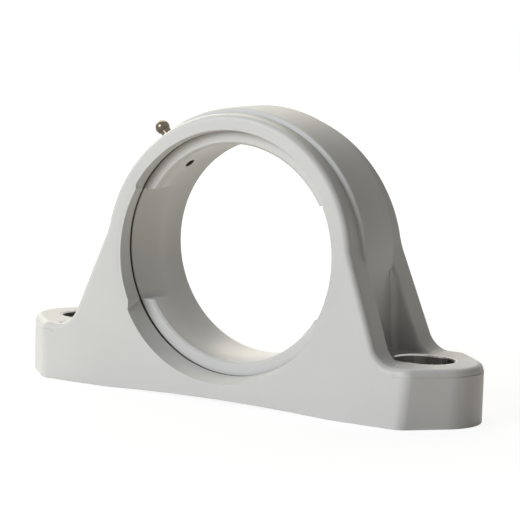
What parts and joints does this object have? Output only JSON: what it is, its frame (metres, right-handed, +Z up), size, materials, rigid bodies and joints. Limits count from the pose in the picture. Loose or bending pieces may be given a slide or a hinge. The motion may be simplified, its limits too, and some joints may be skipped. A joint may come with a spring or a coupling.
{
  "type": "pillow block bearing housing",
  "caption": "Moulded two-bolt pillow block housing with a spherical seat for an insert bearing, oblong bolt sleeves and a grease nipple.",
  "frame": {"origin": "on the base plane, under the middle of the bore", "axes": "+X along the base with the nipple on the -X side, +Y along the bore towards the back (the loading slots face -Y), +Z up from the base"},
  "size_m": [0.223, 0.06, 0.1267],
  "materials": {
    "housing_plastic": "light grey, fine moulded satin",
    "sleeve_steel": "drawn, satin",
    "nipple_metal": "dark plated, bright",
    "valve_steel": "polished"
  },
  "bodies": {
    "block": {"housing": "housing_plastic", "bolt_sleeve_left": "sleeve_steel", "bolt_sleeve_right": "sleeve_steel", "grease_nipple": "nipple_metal", "nipple_spring": "valve_steel"},
    "check_ball": {"nipple_ball": "valve_steel"}
  },
  "joints": [
    {"name": "check_ball_slide", "type": "slide", "parent": "block", "child": "check_ball", "axis": [0.7071, 0, -0.7071], "range_m": [0, 0.0008], "stiffness_N_per_m": 50, "springref_m": -0.0005, "deforming": ["nipple_spring"]}
  ]
}
